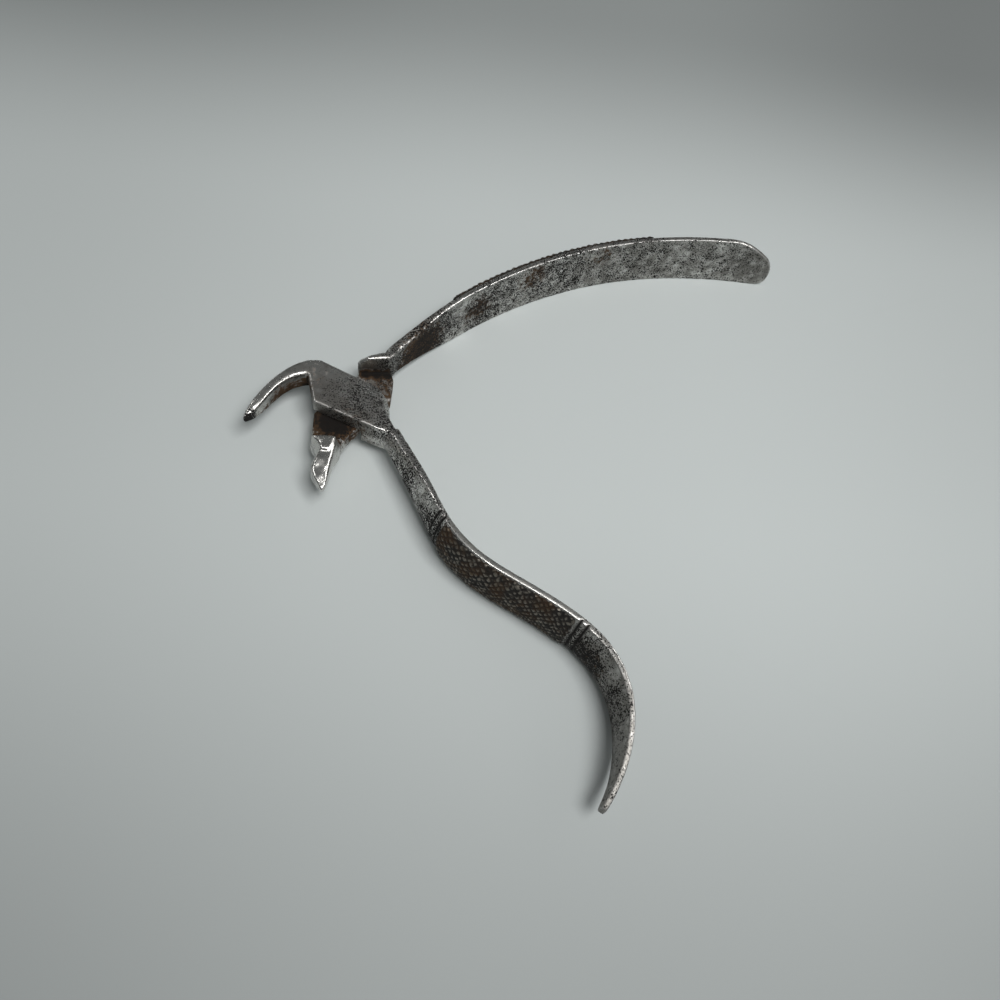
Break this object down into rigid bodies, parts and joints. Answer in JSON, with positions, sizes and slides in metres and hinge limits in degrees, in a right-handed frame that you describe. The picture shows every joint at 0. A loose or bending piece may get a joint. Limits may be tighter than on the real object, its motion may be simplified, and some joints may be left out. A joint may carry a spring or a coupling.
{
  "type": "dental pliers",
  "caption": "Hand pliers for dental work: crossed steel levers in a lap joint, one long hooked beak, one short spike beak, thin knurled handles, one ending in a hook.",
  "frame": {"origin": "middle of the pliers' outline as they lie open, on the plane that they lie on", "axes": "+Z along the hinge axis, up from the plane the pliers lie on towards the plate's front face; +X from the beaks towards the handles' ends; +Y towards the plain handle, away from the hooked one"},
  "size_m": [0.1172, 0.1304, 0.0129],
  "materials": {
    "lever_steel": "old forged steel, ground bright, now pitted and stained, with brown rust in the knurling",
    "screw_steel": "turned steel, dulled"
  },
  "bodies": {
    "hook_body": {"hook_lever": "lever_steel", "pivot_screw": "screw_steel"},
    "spike_body": {"spike_lever": "lever_steel"}
  },
  "joints": [
    {"name": "lap_hinge", "type": "hinge", "parent": "hook_body", "child": "spike_body", "pos_m": [-0.03857, 0.01141, 0.00645], "axis": [0, 0, 1], "range_deg": [-55.5, 2]}
  ]
}
